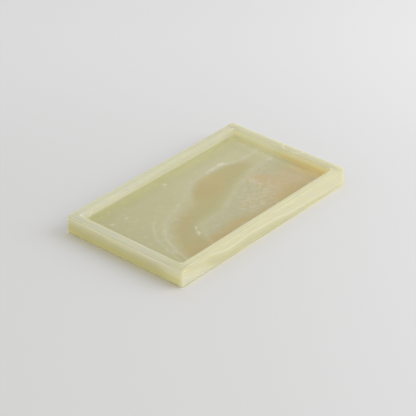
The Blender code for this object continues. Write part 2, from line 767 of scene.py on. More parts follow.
@dataclass(frozen=True)
class Figure:
    """The well's floor: two white veins at a slant, with peach and olive between them."""

    left: Colour = shown(187, 183, 142)
    right: Colour = shown(193, 189, 150)
    front: Colour = shown(185, 179, 141)
    olive: Colour = shown(180, 173, 124)
    peach: Colour = shown(191, 172, 119)
    rose: Colour = shown(194, 176, 134)
    cloud: Colour = shown(203, 198, 168)
    vein: Colour = shown(206, 203, 176)
    fleck: Colour = shown(222, 218, 200)
    dusk: Colour = (0.90, 0.90, 0.90)
    dusk_strength: float = 0.35
    cloud_strength: float = 0.6

    turn: float = math.radians(20)
    reach: float = 110.0
    warps: tuple[Warp, ...] = ((12.0, (3.0, 3.0, 2.0)), (3.0, (2.4, 2.4, 1.8)))
    fleck_warp: Warp = (2.5, (2.0, 2.0, 1.0))
    to_right: Span = (-85.0, 45.0)
    to_front: Span = (3.0, -4.0)

    band_top: Span = (0.0, -9.0)
    band_foot: Span = (-4.0, 11.0)
    band_end: Span = (90.0, 54.0)
    band_rise: float = 6.0
    band_rise_ends: Span = (12.0, -15.0)

    crumb: Speckle = Speckle(3.0, 3.0, 0.3, 0.7)
    grit: Speckle = Speckle(2.6, 2.0, 0.38, 0.64)
    mottle: Speckle = Speckle(5.0, 3.0, 0.5, 0.75)
    mottle_strength: float = 0.3
    mottle_loss: float = 0.22
    gaps: Speckle = Speckle(8.0, 3.0, 0.3, 0.65)

    main_width: float = 2.6
    main_strength: Lift = (0.05, 0.25)
    main_bright: Zone = Zone(x=(27.0, 36.0), strength=0.6)
    main_fade: Zone = Zone(x=(64.0, 50.0), strength=0.5)
    main_left: Zone = Zone(x=(-35.0, -55.0), strength=0.35)
    beside_gap: float = 9.0
    beside_width: float = 2.0
    beside: Zone = Zone(x=(-40.0, -60.0), strength=0.4)
    second_width: float = 3.5
    second_strength: Lift = (0.02, 0.2)
    vein_strength: Lift = (0.55, 0.6)

    main_vein: tuple[Place, ...] = (
        (-76, -46), (-71, -31), (-66, -16), (-59, -6), (-50, 2), (-39, 8), (-31, 10), (-21, 13),
        (-12, 16), (-5, 21), (6, 26), (16, 29), (29, 30), (39, 31), (52, 29), (59, 26), (71, 23),
        (90, 24),
    )
    second_vein: tuple[Place, ...] = (
        (-49, -50), (-39, -30), (-34, -22), (-28, -19), (-19, -19), (-5, -18), (7, -14),
        (20, -9), (35, -3), (50, 0), (62, 4), (84, 7), (98, 8),
    )
    peach_patches: tuple[Patch, ...] = (
        Patch(17, 14, 25, 14, 0.74, 0.5), Patch(46, 18, 28, 9, 0.4), Patch(-6, 5, 24, 11, 0.3, 0.3),
        Patch(-40, -7, 22, 8, 0.5, 0.5), Patch(-57, -28, 11, 24, 0.35, -0.5),
        Patch(-62, -38, 17, 12, 0.65), Patch(-38, -43, 18, 9, 0.95), Patch(-12, -41, 28, 9, 0.85),
        Patch(20, -48, 40, 10, 0.7), Patch(54, -44, 26, 13, 0.9),
    )
    rose_patches: tuple[Patch, ...] = (
        Patch(56, -20, 12, 25, 1.0, 0.25), Patch(55, -36, 24, 13, 1.0),
        Patch(78, -30, 32, 20, 0.78), Patch(34, -30, 26, 16, 0.4),
    )
    dusky_patches: tuple[Patch, ...] = (
        Patch(10, 11, 15, 13, 1.0, 0.4), Patch(-42, -12, 24, 11, 0.8, 0.7),
        Patch(-56, -33, 14, 16, 0.4), Patch(-38, -43, 16, 7, 0.3), Patch(-78, 20, 14, 40, 0.4),
    )
    cloud_patches: tuple[Patch, ...] = (
        Patch(29, -26, 28, 17, 0.75, 0.3), Patch(47, -9, 7, 12, 0.9), Patch(-26, -25, 26, 8, 0.3),
        Patch(82, 16, 22, 12, 0.35), Patch(64, 2, 30, 7, 0.5), Patch(50, 33, 46, 6, 0.4),
    )
    flecks: tuple[Patch, ...] = (
        Patch(-41, -25, 3.2, 1.6, 0.5, 0.9), Patch(-37, -19, 4.0, 1.2, 0.3, 0.8),
        Patch(-4, 44, 2.4, 2.0, 0.5), Patch(-21, 14.5, 3.0, 2.0, 0.15),
        Patch(51, 31, 4.5, 2.0, 0.6, -0.2), Patch(39, 31, 7.0, 1.5, 0.3, 0.1),
        Patch(84, 6, 4.0, 2.6, 0.35), Patch(47, -6, 2.5, 4.0, 0.1), Patch(-62, 32, 2.2, 1.8, 0.3),
        Patch(-76, 34, 2.2, 1.6, 0.3), Patch(-73, -29, 5.0, 1.8, 0.2, 1.3),
    )

    def colour(self, graph: MaterialGraph, place: Wire) -> Wire:
        """Colour of the floor.

        Args:
            graph: The graph to build in.
            place: The place on the tray.

        Returns:
            The colour.
        """
        rough = place
        for grain, reach in self.warps:
            rough = graph.warped(rough, grain, reach)
        x, y, z = graph.parts(rough)
        along, across = turned(x, y, self.turn)
        above_main = across - self._line(graph, along, self.main_vein)
        above_second = across - self._line(graph, along, self.second_vein)
        colour = graph.tint(x.rise(*self.to_right), self.left, self.right)
        colour = graph.tint(above_second.rise(*self.to_front), colour, self.front)
        below_main = above_main + x.rise(*self.band_rise_ends) * self.band_rise
        band = below_main.rise(*self.band_top) * above_second.rise(*self.band_foot)
        band = band * x.rise(*self.band_end)
        colour = graph.tint(band, colour, self.olive)
        colour = graph.tint(strongest(self.rose_patches, x, y), colour, self.rose)
        colour = graph.tint(strongest(self.peach_patches, x, y), colour, self.peach)
        dusky = strongest(self.dusky_patches, x, y) * self.dusk_strength
        colour = graph.tint(dusky, colour, self.dusk, "MULTIPLY")
        cloudy = strongest(self.cloud_patches, x, y) * self.grit.mask(graph, place)
        colour = graph.tint(cloudy * self.cloud_strength, colour, self.cloud)
        mottled = self.mottle.mask(graph, place) * (self.mottle_strength - band * self.mottle_loss)
        colour = graph.tint(mottled, colour, self.cloud)
        gaps = self.gaps.mask(graph, place)
        fade = self.main_fade.mask(x, y, z) + (1.0 - self.main_fade.strength)
        bright = self.main_bright.mask(x, y, z) * fade + self.main_left.mask(x, y, z)
        main = above_main.peak(self.main_width) * (gaps.lifted(*self.main_strength) + bright)
        beside = (above_main - self.beside_gap).peak(self.beside_width) * self.beside.mask(x, y, z)
        second = above_second.peak(self.second_width) * gaps.lifted(*self.second_strength)
        crumb = self.crumb.mask(graph, place).lifted(*self.vein_strength)
        colour = graph.tint(main.at_least(beside).at_least(second) * crumb, colour, self.vein)
        x, y, _ = graph.parts(graph.warped(place, *self.fleck_warp))
        return graph.tint(strongest(self.flecks, x, y), colour, self.fleck)

    def _line(self, graph: Graph, along: Wire, points: Sequence[Place]) -> Wire:
        """How far across the figure a vein runs.

        Args:
            graph: The graph to build in.
            along: Place along the figure.
            points: Places on the tray that the vein runs through.

        Returns:
            The place across the figure.
        """
        span = 2 * self.reach
        places = (turned(x, y, self.turn) for x, y in points)
        curve = sorted((u / span + 0.5, v / span + 0.5) for u, v in places)
        share = graph.add("ShaderNodeFloatCurve", {"curve": curve}, {"Value": along / span + 0.5})
        return (share - 0.5) * span


@dataclass(frozen=True)
class OuterWalls:
    """The outer walls: folded beds in front, and level honey-coloured ones on the left.

    A bed's height counts from the fold that shows as a white vein along the front wall, and
    each vein has its height, its width and its strength.
    """

    beds: Shades = Shades(
        (
            (-17.0, 222, 219, 186), (-12.0, 221, 217, 182), (-9.5, 217, 212, 172),
            (-6.5, 213, 207, 163), (-3.0, 216, 211, 173), (-1.2, 220, 216, 178),
            (0.0, 225, 221, 189), (1.2, 220, 216, 182), (7.0, 220, 217, 185),
        )
    )
    # Its lowest stops are painted lighter at the foot, as painted light let through the stone
    honey: Shades = Shades(
        (
            (0.3, 250, 240, 160), (1.6, 232, 222, 150), (3.0, 221, 212, 149),
            (6.0, 218, 212, 156), (9.0, 219, 215, 168), (12.8, 226, 223, 193),
            (14.5, 220, 219, 192),
        )
    )
    fold: tuple[Place, ...] = (
        (-100, 22), (-72, 15), (-58, 10.8), (-45, 8.9), (-34, 9.4), (-23, 10.4), (-9, 9.8),
        (12, 8.6), (27, 6.7), (48, 5.4), (75, 4.5), (100, 4.0),
    )
    fold_range: float = 30.0
    dip: float = 0.033
    warp: Warp = (16.0, (5.0, 5.0, 1.2))
    veins: tuple[tuple[float, float, float], ...] = (
        (0.0, 0.8, 0.35), (-10.6, 0.45, 0.6), (-14.4, 0.5, 0.6),
    )
    gaps: Speckle = Speckle(7.0, 2.0, 0.3, 0.6)
    gap_strength: Lift = (0.5, 0.5)

    left_corner: Span = (38.5, 46.0)
    left: Zone = Zone(x=(-90.0, -97.0))
    rear: Zone = Zone(x=(40.0, -80.0), y=(54.0, 58.0))
    # Painted light: a buttery glow near the near corner, at the left wall's foot
    near_corner: Span = (30.0, 4.0)
    near_foot: Zone = Zone(z=(13.0, 9.0), strength=0.4)
    left_veins: Zone = Zone(y=(-30.0, -50.0))
    left_band: Zone = Zone(y=(-33.0, -45.0), strength=0.5)
    left_band_height: float = 10.4
    left_band_width: float = 1.8
    left_glaze: Glaze = Glaze(y=(5.0, -20.0), z=(12.0, 13.5), factor=(1.02, 1.02, 1.12))
    left_grain: Reach = (30.0, 30.0, 0.7)
    left_pale: Zone = Zone(z=(9.0, 12.0), strength=0.5)
    left_dark: float = 0.3

    # Painted light: the front wall is painted paler towards the near corner, and buttery and lighter at
    # its foot, most towards its ends, for light let through the stone
    front_pale: Zone = Zone(x=(-62.0, -78.0), strength=0.35)
    front_foot: Zone = Zone(z=(2.4, 0.4))
    foot_ends: tuple[Zone, Zone] = (Zone(x=(-60.0, -78.0)), Zone(x=(25.0, 60.0)))
    foot_strength: Lift = (0.35, 0.35)
    bedding_length: float = 40.0
    bedding_strength: float = 0.25
    bedding_pale: Span = (0.55, 0.75)
    bedding_dark: Span = (0.45, 0.25)

    def colour(self, graph: MaterialGraph, place: Wire) -> Wire:
        """Colour of the outer walls.

        Args:
            graph: The graph to build in.
            place: The place on the tray.

        Returns:
            The colour.
        """
        x, y, z = graph.parts(place)
        bed = self._bed(graph, graph.warped(place, *self.warp))
        front = self._front(graph, place, bed)
        left = self._left(graph, place)
        gaps = self.gaps.mask(graph, place).lifted(*self.gap_strength)
        for height, width, strength in self.veins:
            vein = (bed - height).peak(width) * gaps * strength
            front = graph.tint(vein, front, WHITE)
            left = graph.tint(vein * self.left_veins.mask(x, y, z), left, WHITE)
        bedding = graph.vector(bed, x / self.bedding_length, y / self.bedding_length)
        bedding = graph.noise(bedding, detail=3.0)
        for levels, tone in ((self.bedding_pale, PALE), (self.bedding_dark, MOSS)):
            front = graph.tint(bedding.rise(*levels) * self.bedding_strength, front, tone)
        on_left = (y - x).rise(*self.left_corner) * self.left.mask(x, y, z)
        return graph.tint(on_left.at_least(self.rear.mask(x, y, z)), front, left)

    def _front(self, graph: MaterialGraph, place: Wire, bed: Wire) -> Wire:
        """The front wall's beds, painted paler towards the near corner and painted buttery and lighter
        at the foot, brightest towards its ends: painted light in place of light let through the stone.

        Args:
            graph: The graph to build in.
            place: The place on the tray.
            bed: The height above the fold.

        Returns:
            The colour, before its veins.
        """
        x, y, z = graph.parts(place)
        pale = self.front_pale.mask(x, y, z)
        front = graph.tint(pale, self.beds.colour(graph, bed), PALE)
        ends = reduce(Wire.at_least, (end.mask(x, y, z) for end in self.foot_ends))
        foot = self.front_foot.mask(x, y, z) * ends.lifted(*self.foot_strength)
        return graph.tint(foot, front, BUTTER)

    def _left(self, graph: MaterialGraph, place: Wire) -> Wire:
        """The left wall's level stripes, with a painted buttery glow at the near corner's foot.

        Args:
            graph: The graph to build in.
            place: The place on the tray.

        Returns:
            The colour, before its veins.
        """
        x, y, z = graph.parts(place)
        corner = (x + y + (HALF_LENGTH + HALF_WIDTH)).rise(*self.near_corner)
        glow = corner * self.near_foot.mask(x, y, z)
        left = graph.tint(glow, self.honey.colour(graph, z), BUTTER)
        left = glazed(graph, left, place, (self.left_glaze,))
        band = (z - self.left_band_height).peak(self.left_band_width) * self.left_band.mask(x, y, z)
        left = graph.tint(band, left, PALE)
        stripe = graph.noise(graph.stretched(place, self.left_grain))
        left = graph.tint(stripe.rise(*STREAK_PALE) * self.left_pale.mask(x, y, z), left, WHITE)
        return graph.tint(stripe.rise(*STREAK_DARK) * self.left_dark, left, MOSS)

    def _bed(self, graph: Graph, place: Wire) -> Wire:
        """Height above the fold that shows as a white vein along the front wall.

        Args:
            graph: The graph to build in.
            place: The place on the tray.

        Returns:
            The height.
        """
        x, y, z = graph.parts(place)
        length = 2 * HALF_LENGTH
        curve = [(along / length + 0.5, height / self.fold_range) for along, height in self.fold]
        fold = graph.add("ShaderNodeFloatCurve", {"curve": curve}, {"Value": x / length + 0.5})
        return z - fold * self.fold_range - (y + HALF_WIDTH) * self.dip


@dataclass(frozen=True)
class Rim:
    """The rim's top: a tone for each side, faint streaks along it and a few thin veins."""

    rear: Colour = shown(207, 206, 180)
    right: Colour = shown(206, 203, 174)
    left: Colour = shown(199, 198, 172)
    front: Colour = shown(213, 210, 175)
    to_right: Span = (0.0, 70.0)
    to_left: Span = (-20.0, -60.0)
    on_front: Zone = Zone(y=(-46.0, -56.0))
    front_end: Span = (58.0, 26.0)
    # The first glaze is painted shade: it darkens the left rim's outer edge against the highlight on
    # that arris
    glazes: tuple[Glaze, ...] = (
        Glaze(x=(-96.5, -98.5), factor=(0.955, 0.955, 0.935)),
        Glaze(x=(-90.0, -94.0), y=(-33.0, -45.0), factor=(0.99, 0.985, 0.91)),
        Glaze(x=(-60.0, -75.0), y=(-55.5, -57.5), factor=(0.96, 0.95, 0.95)),
        Glaze(x=(91.5, 93.0, 94.5, 97.0), factor=(0.93, 0.92, 0.84)),
        Glaze(x=(96.5, 98.5), y=(-5.0, -30.0), factor=(0.96, 0.96, 1.0)),
    )
    warp: Warp = (20.0, (4.0, 4.0, 0.0))
    streak_width: float = 1.25
    streak_length: float = 40.0
    streak_strength: float = 0.15
    curl_middle: Place = (104.0, -8.0)
    curl_radius: float = 12.0
    curl_width: float = 0.4
    thread_y: float = -56.0
    thread_width: float = 0.5
    thread: Zone = Zone(x=(-64.0, -56.0), strength=0.4)
    vein_strength: float = 0.6

    def colour(self, graph: MaterialGraph, place: Wire) -> Wire:
        """Colour of the rim's top.

        Args:
            graph: The graph to build in.
            place: The place on the tray.

        Returns:
            The colour.
        """
        x, y, z = graph.parts(place)
        colour = graph.tint(x.rise(*self.to_right), self.rear, self.right)
        colour = graph.tint((x + y).rise(*self.to_left), colour, self.left)
        in_front = self.on_front.mask(x, y, z) * (y - x).rise(*self.front_end)
        colour = graph.tint(in_front, colour, self.front)
        colour = glazed(graph, colour, place, self.glazes)
        x, y, z = graph.parts(graph.warped(place, *self.warp))
        along = (x / self.streak_length, y / self.streak_length)
        streak = graph.noise(graph.vector(from_side(x, y) / self.streak_width, *along))
        for levels, tone in ((STREAK_PALE, PALE), (STREAK_DARK, MOSS)):
            colour = graph.tint(streak.rise(*levels) * self.streak_strength, colour, tone)
        right, back = x - self.curl_middle[0], y - self.curl_middle[1]
        curl = (right * right + back * back) ** 0.5
        thread = (y - self.thread_y).peak(self.thread_width) * self.thread.mask(x, y, z)
        vein = (curl - self.curl_radius).peak(self.curl_width).at_least(thread)
        return graph.tint(vein * self.vein_strength, colour, WHITE)


@dataclass(frozen=True)
class Well:
    """Inside the well: its walls darken downwards into the floor's figure.

    The right end's walls and the floor's end have painted lighter shades, in place of light that the
    stone lets through from the right.
    """

    rear: Shades = Shades(
        ((6.2, 192, 189, 132), (8.0, 206, 204, 153), (9.6, 221, 219, 194), (14.0, 220, 219, 210))
    )
    # Painted light: the right wall's shades are lighter than the rear wall's, for light let through the
    # right rim; sunlit is the lighter copy towards the rear
    amber: Shades = Shades(
        ((6.2, 238, 226, 157), (8.6, 231, 221, 157), (11.0, 237, 232, 192), (14.0, 234, 231, 208))
    )
    sunlit: Shades = Shades(
        ((6.2, 238, 235, 184), (8.6, 232, 228, 182), (11.0, 237, 236, 208), (14.0, 233, 233, 214))
    )
    rear_glazes: tuple[Glaze, ...] = (
        Glaze(x=(-60.0, 20.0), z=(8.5, 11.0), factor=(0.93, 0.93, 0.88)),
    )
    # Painted light on the floor: lighter towards the right wall and towards the rear wall's foot, where
    # the walls shade it; the third and fourth zones only shift the tone, and the last takes back a
    # little of the rear lift
    floor_glazes: tuple[Glaze, ...] = (
        Glaze(x=(66.0, 84.0), factor=(1.05, 1.05, 1.06)),
        Glaze(x=(79.5, 91.5), factor=(1.37, 1.37, 1.40)),
        Glaze(x=(87.0, 92.0), factor=(1.02, 1.00, 0.84)),
        Glaze(x=(78.0, 86.0), y=(-25.0, -10.0), factor=(0.975, 0.995, 1.08)),
        Glaze(y=(43.0, 50.0), factor=(1.12, 1.12, 1.08)),
        Glaze(y=(47.5, 49.5, 50.2, 51.6), factor=(0.965, 0.96, 0.91)),
    )
    # Painted light and shade in the right-hand corners: the front corner is lighter, and the rear
    # corner's floor takes back some of its painted light
    corner_glazes: tuple[Glaze, ...] = (
        Glaze(x=(86.0, 91.0), y=(-28.0, -42.0), factor=(1.05, 1.05, 1.0)),
        Glaze(x=(78.0, 90.0), y=(40.0, 52.0), z=(9.0, 6.8), factor=(0.95, 0.935, 0.84)),
    )
    to_sunlit: Span = (-15.0, 20.0)
    to_lit: Span = (82.0, 89.5)
    lit_lean: Zone = Zone(z=(9.5, 12.5), strength=4.0)
    floor_edge: Zone = Zone(z=(7.4, 6.1))
    grain: Reach = (26.0, 26.0, 0.9)
    stripes: Span = (0.5, 0.25)
    stripe_strength: float = 0.15
    # Painted highlight: a short white glint stroke on the rear wall near the left corner
    glint_place: Place = (-81.0, 11.0)
    glint_lean: float = 0.9
    glint_half_sizes: Place = (0.8, 2.5)
    glint: Zone = Zone(y=(50.0, 52.0), strength=0.8)

    def colour(self, graph: MaterialGraph, place: Wire, figure: Wire) -> Wire:
        """Colour inside the well.

        Args:
            graph: The graph to build in.
            place: The place on the tray.
            figure: The colour of the floor's figure.

        Returns:
            The colour.
        """
        x, y, z = graph.parts(place)
        rear = glazed(graph, self.rear.colour(graph, z), place, self.rear_glazes)
        amber, sunlit = self.amber.colour(graph, z), self.sunlit.colour(graph, z)
        lit = graph.tint(y.rise(*self.to_sunlit), amber, sunlit)
        walls = graph.tint((x - self.lit_lean.mask(x, y, z)).rise(*self.to_lit), rear, lit)
        stripe = graph.noise(graph.stretched(place, self.grain))
        walls = graph.tint(stripe.rise(*self.stripes) * self.stripe_strength, walls, MOSS)
        # Painted highlight: the glint stroke
        up = z - self.glint_place[1]
        across = x - self.glint_place[0] - up * self.glint_lean
        half_width, half_height = self.glint_half_sizes
        glint = across.peak(half_width) * up.peak(half_height) * self.glint.mask(x, y, z)
        walls = graph.tint(glint, walls, WHITE)
        floor = glazed(graph, figure, place, self.floor_glazes)
        inside = graph.tint(self.floor_edge.mask(x, y, z), walls, floor)
        return glazed(graph, inside, place, self.corner_glazes)


@dataclass(frozen=True)
class Onyx:
    """Polished banded onyx: strata in the rim and walls, and a veined figure in the floor.

    Places are in millimetres on the tray, and heights count from the stone's underside.
    """

    figure: Figure = Figure()
    outer_walls: OuterWalls = OuterWalls()
    rim: Rim = Rim()
    well: Well = Well()
    in_well: Zone = Zone(side=(7.0, 7.7))
    on_rim: Zone = Zone(z=(13.8, 14.7))
    beneath: Zone = Zone(z=(0.3, 0.1))

    # Painted shade on the rim's arrises, against the highlights that they catch
    arris_top: Span = (14.5, 15.0)
    left_arris: Span = (-92.0, -97.0)
    inner_arris: Zone = Zone(x=(-90.0, -84.0), side=(2.0, 4.0))
    arris_factor: Colour = (0.80, 0.81, 0.84)
    inner_arris_factor: Colour = (0.98, 0.97, 0.90)
    top_loss: float = 0.5
    left_top_share: float = 0.55

    polish: float = 0.22
    polish_drift: float = 0.04
    polish_grain: float = 30.0
    arris_dullness: float = 0.35
    cove: Zone = Zone(side=(7.0, 7.6, 9.5, 11.5))
    cove_roughness: float = 0.75
    sawn: Zone = Zone(z=(0.6, 0.1))
    sawn_roughness: float = 0.55
    ripple_grain: float = 8.0
    ripple_height: float = 0.6
    pits: Speckle = Speckle(0.7, 3.0, 0.30, 0.24)
    pit_depth: float = 0.15
    relief_strength: float = 0.12
    relief_height: float = 0.4 * MM

    def material(self) -> bpy.types.Material:
        """Builds the stone's material.

        Returns:
            The material.
        """
        graph = MaterialGraph("polished_onyx")
        arris = graph.attribute("arris")
        place = graph.scaled(graph.here(), 1 / MM)
        place = graph.vector_math("SUBTRACT", place, (0.0, 0.0, UNDERSIDE))
        return graph.finished(
            {
                "Base Color": self._worn(graph, place, arris, self._colour(graph, place)),
                "Roughness": self._roughness(graph, place, arris),
                "Normal": self._relief(graph, place),
                "IOR": 1.5,
                "Subsurface Weight": 1.0,
                "Subsurface Radius": (1.0, 0.88, 0.45),
                "Subsurface Scale": 0.006,
            }
        )

    def _colour(self, graph: MaterialGraph, place: Wire) -> Wire:
        """Colour of the whole stone: the figure in the floor, and the strata elsewhere.

        Args:
            graph: The graph to build in.
            place: The place on the tray.

        Returns:
            The colour.
        """
        x, y, z = graph.parts(place)
        figure = self.figure.colour(graph, place)
        walls, rim = self.outer_walls.colour(graph, place), self.rim.colour(graph, place)
        outer = graph.tint(self.on_rim.mask(x, y, z), walls, rim)
        well = self.well.colour(graph, place, figure)
        upper = graph.tint(self.in_well.mask(x, y, z), outer, well)
        return graph.tint(self.beneath.mask(x, y, z), upper, figure)

    def _worn(self, graph: Graph, place: Wire, arris: Wire, colour: Wire) -> Wire:
        """Paints shade on the rim's arrises, which would otherwise gather more light than in the photo.

        Args:
            graph: The graph to build in.
            place: The place on the tray.
            arris: 1 on an arris, 0 elsewhere.
            colour: The stone's colour.

        Returns:
            The colour with its arrises.
        """
        x, y, z = graph.parts(place)
        top = z.rise(*self.arris_top)
        elsewhere = 1.0 - top * self.top_loss
        share = graph.between(x.rise(*self.left_arris), elsewhere, top * self.left_top_share)
        colour = graph.tint(arris * share, colour, self.arris_factor, "MULTIPLY")
        inner = arris * self.inner_arris.mask(x, y, z)
        return graph.tint(inner, colour, self.inner_arris_factor, "MULTIPLY")

    def _roughness(self, graph: Graph, place: Wire, arris: Wire) -> Wire:
        """Polish: glossy, duller on worn edges and in the cove, where the wheel hardly reaches.

        Args:
            graph: The graph to build in.
            place: The place on the tray.
            arris: 1 on an arris, 0 elsewhere.

        Returns:
            The roughness.
        """
        x, y, z = graph.parts(place)
        drift = graph.noise(place, self.polish_grain, detail=1.0) * self.polish_drift
        polish = drift + self.polish + arris * self.arris_dullness
        polish = graph.between(self.cove.mask(x, y, z), polish, self.cove_roughness)
        return graph.between(self.sawn.mask(x, y, z), polish, self.sawn_roughness)

    def _relief(self, graph: MaterialGraph, place: Wire) -> Wire:
        """Polishing ripples and fine pits.

        Args:
            graph: The graph to build in.
            place: The place on the tray.

        Returns:
            The bent normal.
        """
        ripple = graph.noise(place, self.ripple_grain) * self.ripple_height
        height = ripple - self.pits.mask(graph, place) * self.pit_depth
        return graph.bumped(height, self.relief_strength, self.relief_height)


@dataclass(frozen=True)
class Felt:
    """Pressed ivory felt: matted wool with a soft sheen."""

    pale: Colour = shown(222, 217, 203)
    shade: Colour = shown(190, 183, 165)
    mat_grain: Reach = (0.6 * MM, 0.6 * MM, 0.3 * MM)
    mat_levels: Span = (0.3, 0.7)
    hair_grain: Reach = (0.1 * MM, 0.9 * MM, 0.3 * MM)
    roughness: Lift = (0.88, 0.1)
    relief_strength: float = 0.5
    relief_height: float = 0.2 * MM

    def material(self) -> bpy.types.Material:
        """Builds the felt's material.

        Returns:
            The material.
        """
        graph = MaterialGraph("ivory_felt")
        matted = graph.noise(graph.stretched(graph.here(), self.mat_grain), detail=5.0)
        hair = graph.noise(graph.stretched(graph.here(), self.hair_grain), detail=3.0)
        return graph.finished(
            {
                "Base Color": graph.tint(matted.rise(*self.mat_levels), self.shade, self.pale),
                "Roughness": hair.lifted(*self.roughness),
                "Normal": graph.bumped(matted + hair, self.relief_strength, self.relief_height),
                "Sheen Weight": 0.3,
                "Sheen Roughness": 0.5,
            }
        )


@dataclass(frozen=True)
class AdhesiveFilm:
    """The pad's adhesive film, a little yellowed and cloudy."""

    clear: Colour = shown(226, 220, 196)
    yellowed: Colour = shown(206, 198, 168)
    grain: float = 2 * MM
    levels: Span = (0.35, 0.7)
    roughness: Lift = (0.2, 0.2)

    def material(self) -> bpy.types.Material:
        """Builds the film's material.

        Returns:
            The material.
        """
        graph = MaterialGraph("adhesive_film")
        cloudy = graph.noise(graph.here(), self.grain, detail=3.0)
        colour = graph.tint(cloudy.rise(*self.levels), self.clear, self.yellowed)
        return graph.finished({"Base Color": colour, "Roughness": cloudy.lifted(*self.roughness)})


@dataclass(frozen=True)
class StoneTray:
    """The stone block with its well, as one closed surface built level by level.

    Each level is a rounded rectangle. A section line gives its inset from the block's side and
    its height, and a guide outline gives its points.
    """

    name: str = "stone_tray"
    outer_corner: float = 0.002
    foot_ease: float = 0.0003
    shoulder_ease: float = 0.0005
    rim_width: float = 0.0075
    mouth_ease: float = 0.0004
    wall_draft: float = 0.0004
    mouth_corner: float = 0.003
    floor_corner: float = 0.010
    cove_radius: float = 0.0025
    arris_reach: Span = (1.4 * MM, 0.4 * MM)
    unevenness: float = 0.00008
    ripple_length: float = 0.03
    sawn_height: float = 2 * MM
    guide_corner: float = 0.010
    recess_steps: int = 64
    corner_steps: int = 12
    ease_steps: int = 6
    section_cuts: tuple[int, ...] = (16, 8, 6, 6, 22)
    outline_cuts: tuple[int, ...] = (0, 96, 56, 96, 56)

    def build(self, stone: bpy.types.Material) -> bpy.types.Object:
        """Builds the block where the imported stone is.

        Args:
            stone: The stone's material.

        Returns:
            The finished piece.
        """
        graph = ShapeGraph(self.name, self._sizes())
        sheet, outline, level = graph.levels(self._outline(graph), self._section(graph))
        inset, _, height = graph.parts(level)
        shape = graph.moved(sheet, self._place(graph, outline, inset, height))
        shape = graph.stored(shape, "arris", self._arris(graph, inset, height))
        shape = graph.closed(shape)
        shape = graph.pushed(shape, self._unevenness(graph))
        shape = self._recessed(graph, shape)
        piece = graph.piece(graph.dressed(shape, stone))
        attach(piece, "root")
        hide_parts("tray_body")
        return piece

    def _sizes(self) -> dict[str, float]:
        """The tree's named sizes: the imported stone's own, and this class's.

        Returns:
            Each size, in metres.
        """
        low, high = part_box("tray_body")
        well = next(mount for mount in frame["record"]["mounts"] if mount["name"] == "well_floor")
        pad_low, pad_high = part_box(Corner.REAR_RIGHT.pad_node)
        return {
            "Length": high.x - low.x,
            "Width": high.y - low.y,
            "Underside": low.z,
            "Rim Top": high.z,
            "Well Floor": well["pos_m"][2],
            "Outer Corner": self.outer_corner,
            "Foot Ease": self.foot_ease,
            "Shoulder Ease": self.shoulder_ease,
            "Rim Width": self.rim_width,
            "Mouth Ease": self.mouth_ease,
            "Wall Draft": self.wall_draft,
            "Mouth Corner": self.mouth_corner,
            "Floor Corner": self.floor_corner,
            "Cove Radius": self.cove_radius,
            "Guide Corner": self.guide_corner,
            "Unevenness": self.unevenness,
            "Recess X": (pad_low.x + pad_high.x) / 2,
            "Recess Y": (pad_low.y + pad_high.y) / 2,
            "Recess Radius": (pad_high.x - pad_low.x) / 2 + RECESS_CLEARANCE,
            "Recess Roof": pad_high.z + BOND_LINE,
        }

    def _section(self, graph: ShapeGraph) -> Wire:
        """Section line, from the underside's middle round the rim to the floor's middle.

        Args:
            graph: The tree to build in.

        Returns:
            The line, in insets from the block's side and heights.
        """
        size = graph.size
        middle = size["Width"] * 0.5
        corners = (
            (middle, size["Underside"]),
            (0.0, size["Underside"]),
            (0.0, size["Rim Top"]),
            (size["Rim Width"], size["Rim Top"]),
            (size["Rim Width"] + size["Wall Draft"], size["Well Floor"]),
            (middle, size["Well Floor"]),
        )
        rounded = ("Foot Ease", "Shoulder Ease", "Mouth Ease", "Cove Radius")
        eases = (0.0, *(size[title] for title in rounded), 0.0)
        line = graph.section(corners, eases, self.ease_steps)
        return graph.divided(line, self.ease_steps, 0, self.section_cuts)

    def _outline(self, graph: ShapeGraph) -> Wire:
        """Guide outline: the block's rectangle with its sides divided and its corners rounded.

        Args:
            graph: The tree to build in.

        Returns:
            The outline.
        """
        sides = {"Width": graph.size["Length"], "Height": graph.size["Width"]}
        line = graph.add("GeometryNodeCurvePrimitiveQuadrilateral", {}, sides)
        line = graph.eased(line, self.corner_steps, graph.size["Guide Corner"])
        return graph.divided(line, self.corner_steps, 1, self.outline_cuts)

    def _corner_radius(self, graph: ShapeGraph, inset: Wire, height: Wire) -> Wire:
        """Corner radius of a level, which closes to 0 on the middle line of both flat faces.

        Args:
            graph: The tree to build in.
            inset: The level's inset from the block's side.
            height: Its height.

        Returns:
            The radius.
        """
        size = graph.size
        middle = size["Width"] * 0.5
        foot_radius = size["Outer Corner"] - size["Foot Ease"]
        closing = (middle - inset) / (middle - size["Foot Ease"])
        outside = (size["Outer Corner"] - inset).at_least(foot_radius * closing)
        depth = (size["Rim Top"] - height) / (size["Rim Top"] - size["Well Floor"])
        opening = (size["Floor Corner"] - size["Mouth Corner"]) * depth.share() ** 2.0
        eased = (size["Rim Width"] - inset).at_least(0.0)
        cove_foot = size["Rim Width"] + size["Wall Draft"] + size["Cove Radius"]
        closing = ((middle - inset) / (middle - cove_foot)).share()
        inside = (size["Mouth Corner"] + eased + opening) * closing
        rim_end = size["Rim Width"] - size["Mouth Ease"]
        over_rim = ((inset - size["Shoulder Ease"]) / (rim_end - size["Shoulder Ease"])).share()
        above_base = height > (size["Underside"] + size["Well Floor"]) * 0.5
        return graph.between(over_rim * above_base, outside, inside)

